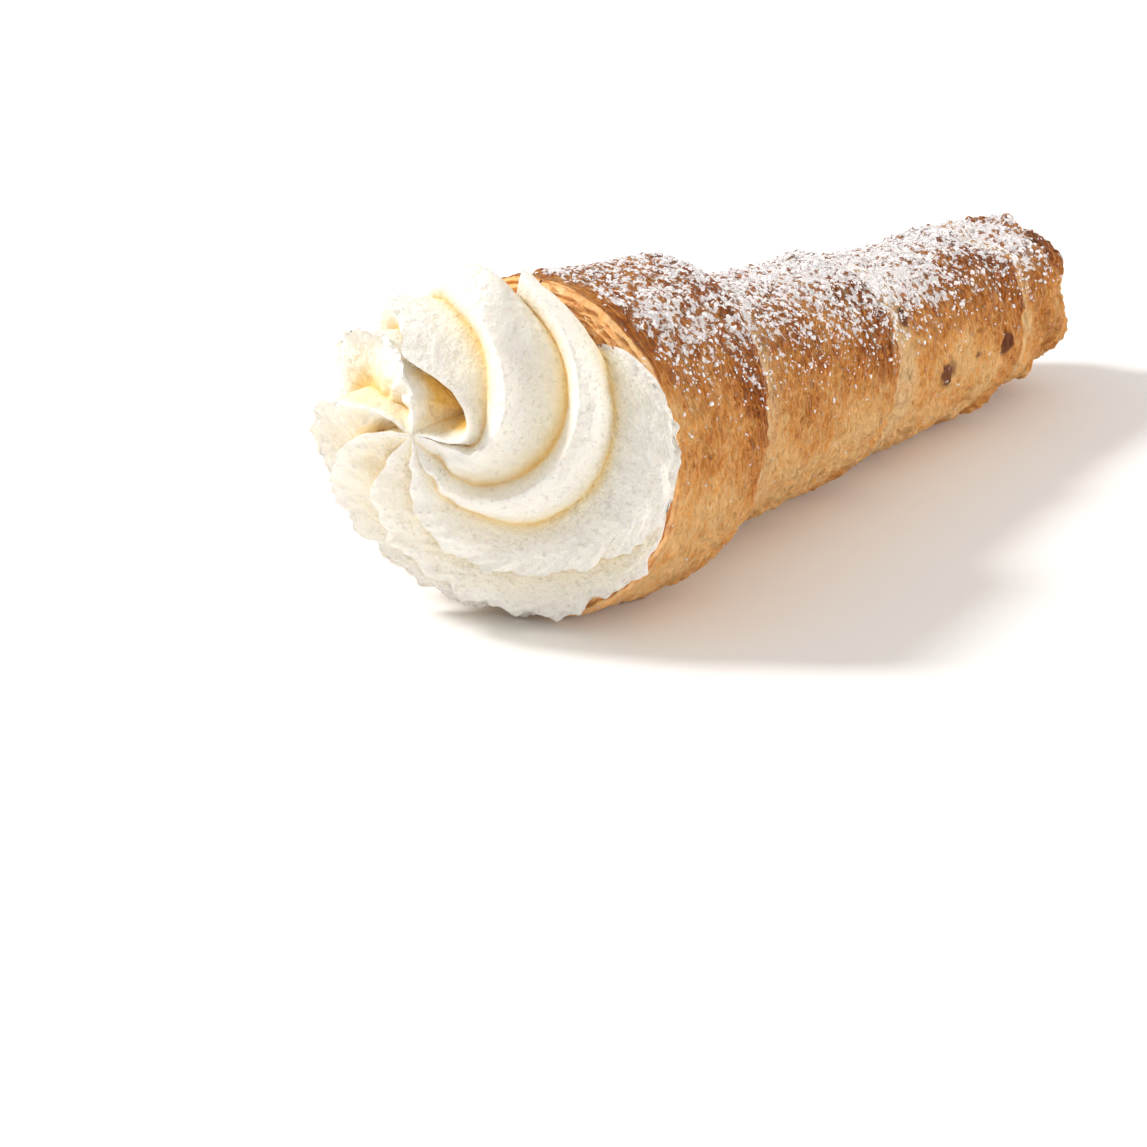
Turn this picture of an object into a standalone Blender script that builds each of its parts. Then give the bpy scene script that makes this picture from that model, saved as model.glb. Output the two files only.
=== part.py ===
"""Cream horn: a strip of puff pastry wound round a cone, filled with piped cream.

The horn lies on its side on z = 0 with its mouth toward -X and its tip toward +X.
Two solids: the hollow pastry horn, closed at its tip, and the cream, which runs from
deep inside the horn out to the swirl that stands in front of the mouth.

Shapes are worked out in the horn's own frame: x is the distance from the mouth along
the axis, so the swirl has negative x. z is up across the axis. An empty tips that
frame by the angle at which the tapering horn lies.
"""
import math

import bpy
import bmesh
from mathutils import Vector, noise

MM = 0.001

# Horn: overall
HORN_LENGTH = 138.0        # mouth to tip, along the axis
MOUTH_HEIGHT = 24.3        # centre of the mouth above the floor
DIP = math.radians(3.8)    # the axis falls toward the tip
SAG = 1.9                  # the middle of the horn hangs below its axis
FRAME_X = -57.41           # these two bring the box's centre to the origin
FRAME_Y = -1.54
FLOOR_CUT = 0.35           # depth of the flat spots that it rests on

# Horn: outer form
MOUTH_FORM_RADIUS = 21.5   # radius of the form below the windings, at the mouth
FORM_TAPER = 0.065         # radius lost for each millimetre of length
TIP_START = 124.0          # where the tip begins to round off
TIP_END_RADIUS = 4.0
TIP_FLAT = 0.4             # the tip's end is cut flat by this much
TIP_BLUNTNESS = (4, 0.4)   # powers of the rounded outline
UNEVENNESS = 0.45          # height of the puffed dough's bumps
BUMP_SIZE = 11.0

# Horn: the wound strip. Each knot: angle wound round the horn (degrees, 0 on top),
# the edge's distance from the mouth, height at the edge, height just past it.
WINDING = (
    (-270, 1.0, 3.0, 2.9),
    (-180, 15.0, 3.5, 0.2),
    (-112, 25.0, 4.4, 0.2),
    (0, 36.5, 5.2, -0.4),
    (100, 54.0, 2.8, -0.3),
    (224, 71.0, 0.1, -0.4),
    (360, 75.0, 0.6, -0.9),
    (470, 95.0, 1.3, -0.2),
    (600, 114.0, 0.9, -0.5),
    (720, 113.0, 0.2, -0.6),
    (860, 133.0, 0.5, -0.3),
    (1100, 165.0, 0.3, -0.2),
)
STEP_RUN = 7.0             # length over which an edge drops to the next turn
EDGE_EASE = 0.35           # how far the edge's line is eased at each knot
MOUTH_FALL = 1.0           # the first turn is lower at the mouth than at its edge

# Horn: cavity
MOUTH_BORE_RADIUS = 19.0
BORE_END = 121.0
BORE_END_RADIUS = 4.2
RIM_ROUND = 1.4            # depth of the rim's rounding
RIM_INSET = 0.45           # the rim's face stays this far inside its two edges

# Cream
GAP = 0.35                 # clearance between the cream and the pastry
ARMS = 8
SWIRL_HEIGHT = 20.6        # how far the peak stands out from the mouth
SWIRL_RADIUS = 28.0        # to the crests, where the swirl is widest
WIDEST_AT = 0.15           # where that is, as a part of the swirl's height
FOOT_WIDTH = 0.93          # the swirl's foot as a part of its widest radius
DOME_FULLNESS = 0.6        # power of the dome's outline, fuller when smaller
PEAK_RADIUS = 1.0
SWIRL_SQUASH = 0.915       # its height as a part of its width
BASE_LIFT = 1.6            # the swirl's base sits above the axis by this much
PEAK_DRIFT = (7.0, 4.0)    # the peak's offset from the axis, along y and z
SWIRL_LEAN = 0.014         # the swirl stands further out toward +Y, by each millimetre
SWIRL_TURN = math.radians(165)
FIRST_CREST = math.radians(95)
CORE_TURN = FIRST_CREST - math.pi / 2
GROOVE_AT = 5.0 / 6.0      # a crest's long flank takes this part of an arm's width
FLANK_HOLLOW = 1.3         # power that hollows the flanks
FRINGE_PART = 0.3          # the part of the swirl's height over which its fringe turns into arms
FRINGE_DEPTH = 0.05        # depth of the grooves as a part of the radius, at the base
GROOVE_DEPTH = 0.24        # the same on the arms
PEAK_GROOVE_DEPTH = 0.42   # the same near the peak

# Mesh
HORN_SIDES = 40
CREAM_SIDES = ARMS * 6
OUTER_RINGS = 50
BORE_RINGS = 9
SWIRL_RINGS = 15


def blend(a, b, f):
    """Return the value a part f of the way from a to b."""
    return a + (b - a) * f


def smooth(f):
    """Return f eased at both ends and held between 0 and 1."""
    f = min(max(f, 0.0), 1.0)
    return f * f * (3.0 - 2.0 * f)


def winding(angle):
    """Return the edge's distance, its height and the height past it, by angle wound."""
    for low, high in zip(WINDING, WINDING[1:]):
        if angle <= high[0]:
            straight = (angle - low[0]) / (high[0] - low[0])
            f = blend(straight, smooth(straight), EDGE_EASE)
            return [blend(a, b, f) for a, b in zip(low[1:], high[1:])]
    return WINDING[-1][1:]


def edges_at(top_angle):
    """List the strip's edges that a line along the horn crosses, from mouth to tip."""
    turn = -math.degrees(top_angle) % 360 - 360
    if turn < WINDING[0][0]:
        turn += 360
    edges = [winding(turn)]
    while edges[-1][0] < HORN_LENGTH + STEP_RUN:
        turn += 360
        edges.append(winding(turn))
    return edges


def band_height(x, top_angle):
    """Return how high the dough stands over the form, x along and top_angle round."""
    edges = edges_at(top_angle)
    first_x, first_height, _ = edges[0]
    height = first_height - MOUTH_FALL * max(1.0 - x / first_x, 0.0)
    for (edge_x, _, past), (next_x, next_height, _) in zip(edges, edges[1:]):
        along = min(max((x - edge_x) / (next_x - edge_x), 0.0), 1.0)
        band = blend(past, next_height, along)
        height = blend(height, band, smooth(0.5 + (x - edge_x) / STEP_RUN))
    return height


def tip_factor(x):
    """Return how much of the radius is left where the tip rounds off."""
    past = max(x - TIP_START, 0.0) / (HORN_LENGTH - TIP_START)
    reach, roundness = TIP_BLUNTNESS
    return max(1.0 - past ** reach, 0.0) ** roundness


def centre_drop(x):
    """Return how far the sagging centre line hangs below the straight axis."""
    return SAG * math.sin(math.pi * min(max(x / HORN_LENGTH, 0.0), 1.0))


def on_section(x, radius, top_angle):
    """Return the point at radius, top_angle from the top toward -Y, on section x."""
    y = -radius * math.sin(top_angle)
    z = radius * math.cos(top_angle) - centre_drop(x)
    return Vector((x, y, z))


def outer_point(x, top_angle):
    """Return the point of the crust's outer face."""
    radius = MOUTH_FORM_RADIUS - FORM_TAPER * x + band_height(x, top_angle)
    point = on_section(x, radius, top_angle)
    radius += UNEVENNESS * noise.noise(point / BUMP_SIZE)
    radius = max(radius * tip_factor(x), TIP_END_RADIUS)
    return on_section(x, radius, top_angle)


def bore_radius(x):
    """Return the cavity's radius."""
    return blend(MOUTH_BORE_RADIUS, BORE_END_RADIUS, x / BORE_END)


def rim_point(part, top_angle):
    """Return a point of the rounded rim, from the outer face (0) to the bore (1)."""
    outer = outer_point(RIM_ROUND, top_angle)
    outer_radius = math.hypot(outer.y, outer.z + centre_drop(RIM_ROUND))
    radius = blend(outer_radius - RIM_INSET, bore_radius(0) + RIM_INSET, part)
    x = RIM_ROUND * (2.0 * part - 1.0) ** 4
    return on_section(x, radius, top_angle)


def loft(name, sides, rings):
    """Build a closed tube of rings, each a function from an angle to a point."""
    mesh = bpy.data.meshes.new(name)
    bm = bmesh.new()
    order = bm.verts.layers.int.new("order")
    circle = bmesh.ops.create_circle(bm, segments=sides, radius=1.0)["verts"]
    for i, vert in enumerate(circle):
        vert[order] = i
    first_edges = list(bm.edges)
    edges = first_edges
    verts = circle
    for ring in rings:
        if ring is not rings[0]:
            grown = bmesh.ops.extrude_edge_only(bm, edges=edges)["geom"]
            verts = [g for g in grown if isinstance(g, bmesh.types.BMVert)]
            loop = set(verts)
            edges = [g for g in grown if isinstance(g, bmesh.types.BMEdge) and set(g.verts) <= loop]
        for vert in verts:
            vert.co = ring(2.0 * math.pi * vert[order] / sides) * MM
    for end in (first_edges, edges):
        bmesh.ops.edgeloop_fill(bm, edges=end)
    bmesh.ops.recalc_face_normals(bm, faces=bm.faces)
    bm.to_mesh(mesh)
    bm.free()
    return mesh


def horn_rings():
    """List the horn's rings: from the tip to the mouth, round the rim, into the bore."""
    rings = []
    for i in range(OUTER_RINGS + 1):
        f = i / OUTER_RINGS
        x = blend(HORN_LENGTH - TIP_FLAT, RIM_ROUND, f)
        rings.append(lambda angle, x=x: outer_point(x, angle))
    for part in (0.12, 0.5, 0.88):
        rings.append(lambda angle, part=part: rim_point(part, angle))
    for i in range(BORE_RINGS + 1):
        x = blend(RIM_ROUND, BORE_END, i / BORE_RINGS)
        rings.append(lambda angle, x=x: on_section(x, bore_radius(x), angle))
    return rings


def swirl_profile(f):
    """Return the crest radius and the height of the swirl, from base (0) to peak (1)."""
    if f > WIDEST_AT:
        above = (f - WIDEST_AT) / (1.0 - WIDEST_AT)
        bulge = max(math.cos(math.pi / 2 * above), 0.0) ** DOME_FULLNESS
    else:
        bulge = blend(FOOT_WIDTH, 1.0, smooth(f / WIDEST_AT))
    radius = SWIRL_RADIUS * bulge
    height = blend(2.0 * GAP, SWIRL_HEIGHT, f)
    return max(radius, PEAK_RADIUS), height


def groove_depth(f):
    """Return how deep the grooves are, as a part of the radius."""
    on_arms = blend(FRINGE_DEPTH, GROOVE_DEPTH, smooth(f / FRINGE_PART))
    return blend(on_arms, PEAK_GROOVE_DEPTH, smooth((f - FRINGE_PART) / (1.0 - FRINGE_PART)))


def swirl_point(f, angle):
    """Return a point of the swirl, f from base to peak, on a line that winds with the arms."""
    crest_radius, height = swirl_profile(f)
    arm_part = angle * ARMS / (2.0 * math.pi) % 1.0
    to_groove = arm_part / GROOVE_AT if arm_part < GROOVE_AT else (1.0 - arm_part) / (1.0 - GROOVE_AT)
    radius = crest_radius * (1.0 - groove_depth(f) * to_groove ** FLANK_HOLLOW)
    across = FIRST_CREST - SWIRL_TURN * f - angle
    y = PEAK_DRIFT[0] * f - radius * math.cos(across)
    z = blend(BASE_LIFT, PEAK_DRIFT[1], f) + SWIRL_SQUASH * radius * math.sin(across)
    return Vector((-height * (1.0 + SWIRL_LEAN * y), y, z))


def cream_rings():
    """List the cream's rings: from the core's end out of the mouth and up the swirl."""
    rings = []
    for i in range(BORE_RINGS, -1, -1):
        x = blend(RIM_ROUND, BORE_END, i / BORE_RINGS) - (GAP if i == BORE_RINGS else 0.0)
        rings.append(lambda angle, x=x: on_section(x, bore_radius(x) - GAP, angle - CORE_TURN))
    rings.append(lambda angle: on_section(-GAP, bore_radius(0) - GAP, angle - CORE_TURN))
    for i in range(SWIRL_RINGS + 1):
        rings.append(lambda angle, f=i / SWIRL_RINGS: swirl_point(f, angle))
    return rings


def material(name, colour, roughness):
    """Make a plain material."""
    made = bpy.data.materials.new(name)
    made.use_nodes = True
    shader = made.node_tree.nodes["Principled BSDF"]
    shader.inputs["Base Color"].default_value = (*colour, 1.0)
    shader.inputs["Roughness"].default_value = roughness
    shader.inputs["Metallic"].default_value = 0.0
    return made


def add_part(name, mesh, parent, look, floor):
    """Place a mesh in the horn's frame, shade it smooth and level it at the floor."""
    part = bpy.data.objects.new(name, mesh)
    bpy.context.scene.collection.objects.link(part)
    part.parent = parent
    mesh.materials.append(look)
    mesh.shade_smooth()
    mesh.set_sharp_from_angle(angle=math.radians(60))
    trim = part.modifiers.new("flat_spot", "BOOLEAN")
    trim.operation = "DIFFERENCE"
    trim.object = floor
    return part


def main():
    """Build the horn and its cream."""
    for old in list(bpy.data.objects):
        bpy.data.objects.remove(old)

    frame = bpy.data.objects.new("horn_frame", None)
    bpy.context.scene.collection.objects.link(frame)
    frame.location = (FRAME_X * MM, FRAME_Y * MM, (MOUTH_HEIGHT - FLOOR_CUT) * MM)
    frame.rotation_euler = (0.0, DIP, 0.0)

    bpy.ops.mesh.primitive_cube_add(size=0.3, location=(0.0, 0.0, -0.15))
    floor = bpy.context.object
    floor.name = "floor_cutter"
    floor.hide_render = True
    floor.display_type = "WIRE"

    crust = material("baked_pastry", (0.62, 0.31, 0.10), 0.55)
    cream = material("whipped_cream", (0.92, 0.88, 0.76), 0.45)
    add_part("pastry_horn", loft("pastry_horn", HORN_SIDES, horn_rings()), frame, crust, floor)
    add_part("cream_filling", loft("cream_filling", CREAM_SIDES, cream_rings()), frame, cream, floor)


main()
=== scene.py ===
"""A cream horn: wound puff pastry under icing sugar, filled with a piped swirl of cream.

Shapes are worked out in millimetres in the horn's own frame: x runs from the mouth along
the axis toward the tip, z is up across the axis. placed() turns them into the part's frame.
"""
import math
import random

import bpy
import numpy as np
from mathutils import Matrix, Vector, noise

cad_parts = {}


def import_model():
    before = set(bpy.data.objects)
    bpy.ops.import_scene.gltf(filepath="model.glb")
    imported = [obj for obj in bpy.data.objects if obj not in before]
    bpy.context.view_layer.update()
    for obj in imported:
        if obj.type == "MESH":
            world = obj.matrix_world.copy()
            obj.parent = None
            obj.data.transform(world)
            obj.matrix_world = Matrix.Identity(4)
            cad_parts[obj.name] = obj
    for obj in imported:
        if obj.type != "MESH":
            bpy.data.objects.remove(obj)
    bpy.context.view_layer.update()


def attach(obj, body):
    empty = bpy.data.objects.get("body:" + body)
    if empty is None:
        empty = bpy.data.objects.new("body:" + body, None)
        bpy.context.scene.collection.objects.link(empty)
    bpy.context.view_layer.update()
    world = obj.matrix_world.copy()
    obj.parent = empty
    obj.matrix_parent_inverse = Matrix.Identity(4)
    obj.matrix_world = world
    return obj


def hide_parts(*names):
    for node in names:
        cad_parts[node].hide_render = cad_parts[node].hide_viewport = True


MM = 0.001
WEIGHT_STEPS = 20

# The horn's frame and driving sizes, as the solid part has them
FRAME_PLACE = (-57.41, -1.54, 23.95)
DIP = math.radians(3.8)
HORN_LENGTH = 138.0
SAG = 1.9
FORM_RADIUS = 21.5
FORM_TAPER = 0.065
TIP_START = 124.0
TIP_BLUNTNESS = (4, 0.4)
BORE_RADIUS = 19.0
BORE_END = 121.0
BORE_END_RADIUS = 4.2
GAP = 0.35

# The wound strip: angle wound, the edge's distance from the mouth, height there and past it
WINDING = np.array((
    (-270, 1.0, 3.0, 2.9),
    (-180, 15.0, 3.5, 0.2),
    (-112, 25.0, 4.4, 0.2),
    (0, 36.0, 4.5, -0.3),
    (100, 54.0, 2.6, -0.3),
    (224, 71.0, 0.1, -0.4),
    (360, 75.0, 0.6, -0.9),
    (470, 95.0, 1.3, -0.2),
    (600, 114.0, 0.9, -0.5),
    (720, 113.0, 0.2, -0.6),
    (860, 133.0, 0.5, -0.3),
    (1100, 165.0, 0.3, -0.2),
    (2000, 190.0, 0.3, -0.2),
))
EDGE_EASE = 0.35
MOUTH_FALL = 0.7
LONG_STEP = 8.0            # the first edges come down gently
SHORT_STEP = 4.5
EDGE_ROLL = 0.45           # the strip's edge puffs up by this much
EDGE_WANDER = 0.9          # the strip's edge strays along the horn by this much
MOST_EDGES = 4             # a line along the horn crosses no more edges than this
NO_EDGE = -30.0            # stands in for the last edge where none has come yet
STRIP_REACH = 1.7          # the strip's length for each radian wound, in centimetres
RIDGE_SCALE = (0.10, 1.6)  # draws the ridges out along the strip

RIM_EDGE = 0.9             # the rim starts about this far along the horn
BORE_COVER = 0.1           # the crust's bore is this much wider than the solid's
POLE_RADIUS = 0.02

# Burnt spots: distance from the mouth, angle from the top, half length round, half width
SCORCHES = (
    (89.5, 95.0, 10.0, 2.5),
    (108.5, 93.0, 9.0, 2.2),
    (99.0, 92.0, 2.5, 0.9),
    (79.0, 54.0, 6.0, 1.4),
    (62.0, 205.0, 7.0, 2.0),
    (96.0, 262.0, 6.0, 1.5),
)

# Icing sugar: lumps to a square metre where it lies thickest, least and greatest radius, seed
SUGAR_SPECKS = (2.6e6, 0.13, 0.26, 5)
SUGAR_CLUMPS = (0.9e6, 0.22, 0.50, 9)

# Thin leaves of dough round the rim
RIM_LEAVES = 46
RIM_LEAF_SEED = 31
LEAF_ARC = (-78.0, 125.0)  # the part of the rim that has leaves, in degrees from the top
LEAF_INNER_RADIUS = 20.6
LEAF_THICKNESS = 0.22

# Mesh density
CRUST_AROUND = 280
CRUST_OUTER_RINGS = 268
CRUST_RIM_RINGS = 46
CRUST_BORE_RINGS = 24
ARM_SIDES = 44
CORE_RINGS = 12
FRINGE_RINGS = 22
SWIRL_RINGS = 214

# The piped swirl
SWIRL_HEIGHT = 20.6
SWIRL_RADIUS = 28.0
WIDEST_AT = 0.15
FOOT_WIDTH = 0.95
DOME_FULLNESS = 0.6
PEAK_RADIUS = 0.9
SWIRL_SQUASH = 0.915
BASE_LIFT = 1.6
PEAK_DRIFT = (7.0, 4.0)
SWIRL_LEAN = 0.014
SWIRL_TURN = 165.0
PEAK_CURL = (-1.8, 1.7)    # the peak itself is pulled aside by this much
PEAK_DEPTH = 1.2
CREST_EASE = 0.03          # rounds the crests
CREST_WIDTH = 0.14         # how far from a crest its tears reach
CRISP_EDGE = math.radians(48.0)   # the cream's edges sharper than this stay crisp
CREAM_CLEARANCE = 0.0003
# Painted shade goes into the fold of HOLLOW_ARM; TOP_ARM and PETALS set how far the painted groove
# shade spreads
HOLLOW_ARM = 6             # the arm whose groove opens into a deep fold beside the peak
TOP_ARM = 0
PETALS = (2, 5)            # the first and the last of the broad arms below
# Each arm, clockwise from the tall one on top: its crest's angle from the right in degrees,
# before the swirl's even turn, at ARM_HEIGHTS; then, each at the foot and higher up, the
# groove's place as a part of the way to the next crest, how full the face before the groove
# is and how full the face past it; the groove's depth at the foot, on the arm and near the
# peak; how many degrees the crest leans over the groove, and how far its edge is torn.
ARM_HEIGHTS = (0.0, 0.2, 0.4, 0.6, 0.75, 0.86, 0.93, 1.0)
ARMS = (
    ((120, 135, 156, 180, 176, 158, 147, 160),
     (0.86, 0.86), (1.50, 0.85), (0.9, 0.9), (7.5, 5.5, 2.6), 0.0, 0.25),
    ((92, 118, 134, 127, 114, 105, 102, 96),
     (0.42, 0.62), (0.70, 1.60), (2.2, 0.9), (6.2, 4.6, 2.0), 0.0, 0.30),
    ((18, 24, 42, 48, 53, 68, 74, 90),
     (0.18, 0.20), (1.10, 1.10), (0.9, 0.8), (2.6, 5.6, 3.4), 9.5, 0.90),
    ((-38, -28, -12, 10, 25, 38, 40, 45),
     (0.18, 0.21), (1.10, 1.10), (0.9, 0.8), (3.4, 6.0, 3.6), 11.0, 0.95),
    ((-66, -52, -44, -33, -20, -8, -12, -10),
     (0.22, 0.24), (1.10, 1.10), (0.9, 0.8), (3.6, 6.0, 3.8), 8.0, 0.95),
    ((-112, -100, -88, -74, -64, -56, -52, -50),
     (0.28, 0.27), (1.10, 1.10), (0.9, 0.8), (3.6, 6.0, 3.8), 4.5, 0.90),
    ((-160, -152, -140, -124, -120, -116, -112, -108),
     (0.40, 0.50), (0.90, 0.90), (0.9, 0.9), (4.0, 6.0, 8.5), 0.0, 0.80),
    ((-198, -186, -168, -145, -131, -130, -195, -196),
     (0.30, 0.68), (0.80, 0.80), (3.0, 1.1), (8.5, 4.5, 2.6), 0.0, 0.45),
)

# Camera and light
CAMERA_PLACE = (-0.5101, -0.3412, 0.2232)
CAMERA_AZIMUTH = math.radians(36.25)
CAMERA_ELEVATION = math.radians(21.07)
CAMERA_LENS = 131.8

# Each light: its place, its size across, its power and its colour
KEY_SOFTBOX = ((-0.34, 0.60, 0.66), 0.20, 7.2, (1.0, 0.99, 0.98))
SIDE_FILL = ((0.45, -0.80, 0.17), 0.5, 5.2, (1.0, 0.97, 0.93))
LIGHT_AIM = (0.0, 0.0, 0.02)
ROOM_COLOUR = (1.0, 0.965, 0.925, 1.0)
ROOM_STRENGTH = 0.635
FLOOR_SIZE = 6.0
FLOOR_DROP = 0.0002


# ---------------------------------------------------------------- helpers

def blend(a, b, f):
    """Return the value a part f of the way from a to b."""
    return a + (b - a) * f


def smooth(f):
    """Return f held between 0 and 1 and eased at both ends."""
    f = np.clip(f, 0.0, 1.0)
    return f * f * (3.0 - 2.0 * f)


def bump_at(value, centre, width):
    """Return a bell that is 1 at centre and falls off over width."""
    return np.exp(-((value - centre) / width) ** 2)


def through(knots, values, at):
    """Return a smooth curve through values at knots."""
    knots = np.array(knots)
    values = np.array(values, dtype=float)
    steps = np.diff(values) / np.diff(knots)
    slopes = np.hstack((steps[0], (steps[1:] + steps[:-1]) / 2.0, steps[-1]))
    low = np.clip(np.searchsorted(knots, at) - 1, 0, len(knots) - 2)
    span = knots[low + 1] - knots[low]
    t = (at - knots[low]) / span
    curve = values[low] * (1.0 + 2.0 * t) * (1.0 - t) ** 2
    curve = curve + values[low + 1] * t * t * (3.0 - 2.0 * t)
    return curve + span * (slopes[low] * t * (1.0 - t) ** 2 - slopes[low + 1] * t * t * (1.0 - t))


def noise_at(points, size, seed):
    """Return smooth noise from -1 to 1 at an array of points, with features of a size."""
    shifted = points / size + seed * 7.31
    return np.array([noise.noise(Vector(p)) for p in shifted])


def wander(turn, seed):
    """Return a slow wobble from -1 to 1 of an angle in degrees."""
    total = 0.50 * np.sin(np.radians(turn * 2.3) + seed)
    total += 0.30 * np.sin(np.radians(turn * 5.9) + seed * 2.1)
    return total + 0.20 * np.sin(np.radians(turn * 13.7) + seed * 3.7)


def placed(points):
    """Turn points in the horn's frame, in millimetres, into the part's frame in metres."""
    x, y, z = points.T
    turned = np.stack((
        x * math.cos(DIP) + z * math.sin(DIP),
        y,
        -x * math.sin(DIP) + z * math.cos(DIP),
    ), axis=1)
    return (turned + FRAME_PLACE) * MM


def only(obj):
    """Select one object and make it active."""
    bpy.ops.object.select_all(action="DESELECT")
    obj.select_set(True)
    bpy.context.view_layer.objects.active = obj


def apply_modifiers(obj):
    """Apply every modifier of an object, in order."""
    only(obj)
    for modifier in list(obj.modifiers):
        bpy.ops.object.modifier_apply(modifier=modifier.name)


def grid_sheet(name, across, along):
    """Add a grid and return it with each vertex's place across and along, from 0 to 1."""
    bpy.ops.object.select_all(action="DESELECT")
    bpy.ops.mesh.primitive_grid_add(x_subdivisions=across, y_subdivisions=along, size=1.0)
    sheet = bpy.context.object
    sheet.name = name
    sheet.data.name = name
    flat = np.empty(len(sheet.data.vertices) * 3)
    sheet.data.vertices.foreach_get("co", flat)
    flat = flat.reshape(-1, 3) + 0.5
    return sheet, flat[:, 0], flat[:, 1]


def move_vertices(obj, points):
    """Move an object's vertices to an array of points."""
    obj.data.vertices.foreach_set("co", points.ravel())
    obj.data.update()


def set_mask(obj, name, values):
    """Store a number from 0 to 1 at each vertex: exact for materials, in steps for modifiers."""
    values = np.clip(values, 0.0, 1.0)
    layer = obj.data.attributes.new(name, "FLOAT", "POINT")
    layer.data.foreach_set("value", values)
    group = obj.vertex_groups.new(name=name + "_weight")
    steps = np.round(values * WEIGHT_STEPS).astype(int)
    for step in range(1, WEIGHT_STEPS + 1):
        chosen = np.nonzero(steps == step)[0].tolist()
        group.add(chosen, step / WEIGHT_STEPS, "REPLACE")


def close_seams(obj, threshold=0.000002):
    """Merge the vertices that lie on each other and turn the faces outward."""
    only(obj)
    bpy.ops.object.mode_set(mode="EDIT")
    bpy.ops.mesh.select_all(action="SELECT")
    bpy.ops.mesh.remove_doubles(threshold=threshold)
    bpy.ops.mesh.normals_make_consistent(inside=False)
    bpy.ops.object.mode_set(mode="OBJECT")


def relief(obj, name, size, strength, weight="", uv=""):
    """Push the surface in and out by a cloudy texture, where a vertex group says."""
    texture = bpy.data.textures.new(name, "CLOUDS")
    texture.noise_scale = size
    texture.noise_depth = 2
    modifier = obj.modifiers.new(name, "DISPLACE")
    modifier.texture = texture
    modifier.strength = strength
    modifier.mid_level = 0.5
    if uv:
        modifier.texture_coords = "UV"
        modifier.uv_layer = uv
    else:
        modifier.texture_coords = "LOCAL"
    if weight:
        modifier.vertex_group = weight + "_weight"


def lift_to_floor(obj, lowest):
    """Move up what would pass below a height over the floor."""
    flat = np.empty(len(obj.data.vertices) * 3)
    obj.data.vertices.foreach_get("co", flat)
    points = flat.reshape(-1, 3)
    points[:, 2] = np.maximum(points[:, 2], lowest)
    move_vertices(obj, points)


# ---------------------------------------------------------------- the horn's form

def winding(turn):
    """Return the strip's edge distance and the heights at it and past it."""
    knots = WINDING[:, 0]
    low = np.clip(np.searchsorted(knots, turn) - 1, 0, len(knots) - 2)
    straight = np.clip((turn - knots[low]) / (knots[low + 1] - knots[low]), 0.0, 1.0)
    f = blend(straight, smooth(straight), EDGE_EASE)[..., None]
    edge = blend(WINDING[low, 1:], WINDING[low + 1, 1:], f)
    return edge[..., 0], edge[..., 1], edge[..., 2]


def first_turn(top_angle):
    """Return the angle wound at the first edge that a line along the horn crosses."""
    turn = -np.degrees(top_angle) % 360 - 360
    return np.where(turn < WINDING[0, 0], turn + 360, turn)


def strayed_edge(turn):
    """Return the edge's distance from the mouth, with its small straying."""
    edge, height, past = winding(turn)
    fade = smooth((turn - WINDING[0, 0]) / 60.0)
    return edge + EDGE_WANDER * fade * wander(turn, 1.0), height, past


def crust_profile(x, top_angle):
    """Return the dough's height over the form, and its place in the strip.

    The place is how far past the last edge it lies, how far before the next one, and the
    angle wound at the last edge.
    """
    turn = first_turn(top_angle)
    edge_x, edge_height, _ = strayed_edge(turn)
    height = edge_height - MOUTH_FALL * np.clip(1.0 - x / edge_x, 0.0, 1.0)
    height = height + EDGE_ROLL * bump_at(x, edge_x - 3.5, 3.0)
    last = np.where(x < edge_x, NO_EDGE, edge_x)
    ahead = edge_x.copy()
    last_turn = turn - 360
    for _ in range(MOST_EDGES):
        this_x, _, past = strayed_edge(turn)
        next_x, next_height, _ = strayed_edge(turn + 360)
        along = np.clip((x - this_x) / (next_x - this_x), 0.0, 1.0)
        band = blend(past, next_height, along) + EDGE_ROLL * bump_at(x, next_x - 3.0, 2.5)
        step = blend(LONG_STEP, SHORT_STEP, smooth((turn - 60.0) / 200.0))
        height = blend(height, band, smooth(0.5 + (x - this_x) / step))
        inside = x >= this_x
        last = np.where(inside, this_x, last)
        ahead = np.where(inside, next_x, ahead)
        last_turn = np.where(inside, turn, last_turn)
        turn = turn + 360
    return height, x - last, ahead - x, last_turn


def centre_drop(x):
    """Return how far the centre line hangs below the straight axis."""
    return SAG * np.sin(np.pi * np.clip(x / HORN_LENGTH, 0.0, 1.0))


def on_section(x, radius, top_angle):
    """Return points at a radius and an angle from the top toward -Y, on sections x."""
    y = -radius * np.sin(top_angle)
    z = radius * np.cos(top_angle) - centre_drop(x)
    return np.stack((x, y, z), axis=1)


def bore_radius(x):
    """Return the cavity's radius."""
    return blend(BORE_RADIUS, BORE_END_RADIUS, x / BORE_END)


def tip_factor(x):
    """Return how much of the radius is left where the tip rounds off."""
    reach, roundness = TIP_BLUNTNESS
    past = np.clip((x - TIP_START) / (HORN_LENGTH - TIP_START), 0.0, 1.0)
    return np.clip(1.0 - past ** reach, 0.0, 1.0) ** roundness


# ---------------------------------------------------------------- pastry crust

def rim_points(angle, part, rim_start, rim_edge):
    """Return the rim's points and their raggedness.

    The rim is thin layers side by side, rolled over from the outer face to the bore.
    """
    rim_radius = blend(rim_start, bore_radius(0) + BORE_COVER, part)
    flat_rim = on_section(np.zeros_like(part), rim_radius, angle)
    ragged = noise_at(flat_rim * (0.35, 1.0, 1.0), 2.6, 7)
    leaf_angle = np.degrees(angle) + 40.0 * ragged
    layers = np.abs(np.sin(part * 17.0 + 1.6 * wander(leaf_angle, 5.0)))
    face = rim_edge - 1.2 * np.sin(np.pi * part) ** 0.6 + 0.9 * (1.0 - layers) + 0.5 * ragged
    face = blend(rim_edge, face, np.clip(np.sin(np.pi * part) * 4.0, 0.0, 1.0))
    return on_section(face, rim_radius, angle), ragged


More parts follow.
